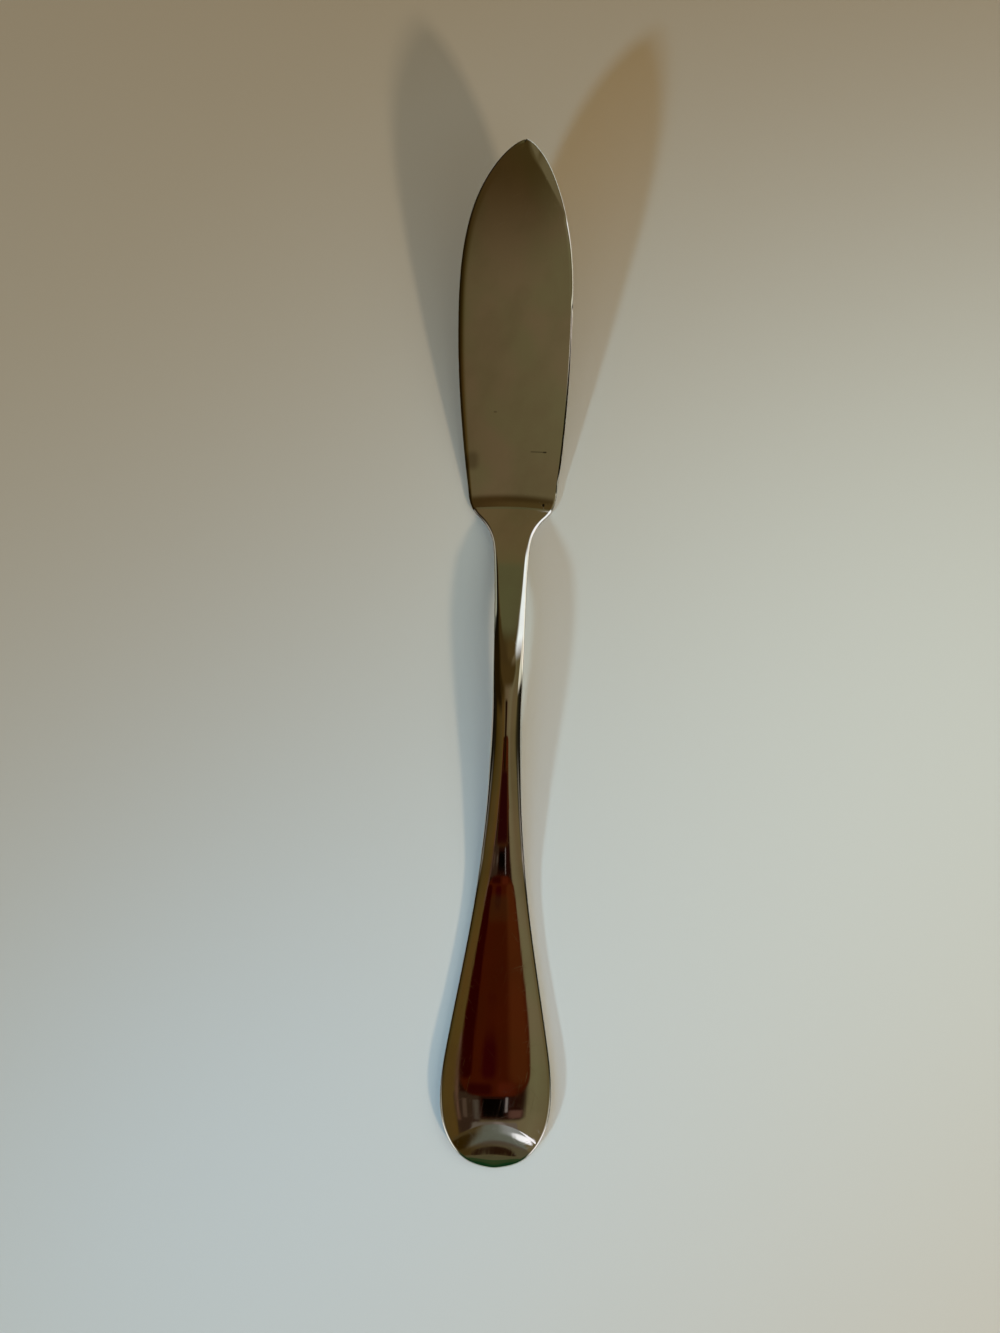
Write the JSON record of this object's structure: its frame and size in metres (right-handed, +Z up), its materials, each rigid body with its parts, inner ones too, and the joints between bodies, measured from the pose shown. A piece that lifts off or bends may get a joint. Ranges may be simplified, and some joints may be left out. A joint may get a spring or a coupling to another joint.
{
  "type": "fish knife",
  "caption": "One-piece steel fish knife: a leaf-shaped blade low on its heel, a slim arched neck, and a flared, round-ended handle with a turned-down end.",
  "frame": {"origin": "on the table under the middle of the knife's length and width, in its resting pose", "axes": "+Y from the end of the handle to the tip, +Z up out of the table, +X to the right seen from above"},
  "size_m": [0.0236, 0.2048, 0.0212],
  "materials": {
    "blade_steel": "mirror polished, lightly worn",
    "neck_steel": "mirror polished, lightly worn",
    "handle_steel": "mirror polished, lightly worn"
  },
  "bodies": {
    "root": {"blade": "blade_steel", "neck": "neck_steel", "handle": "handle_steel"}
  },
  "joints": []
}
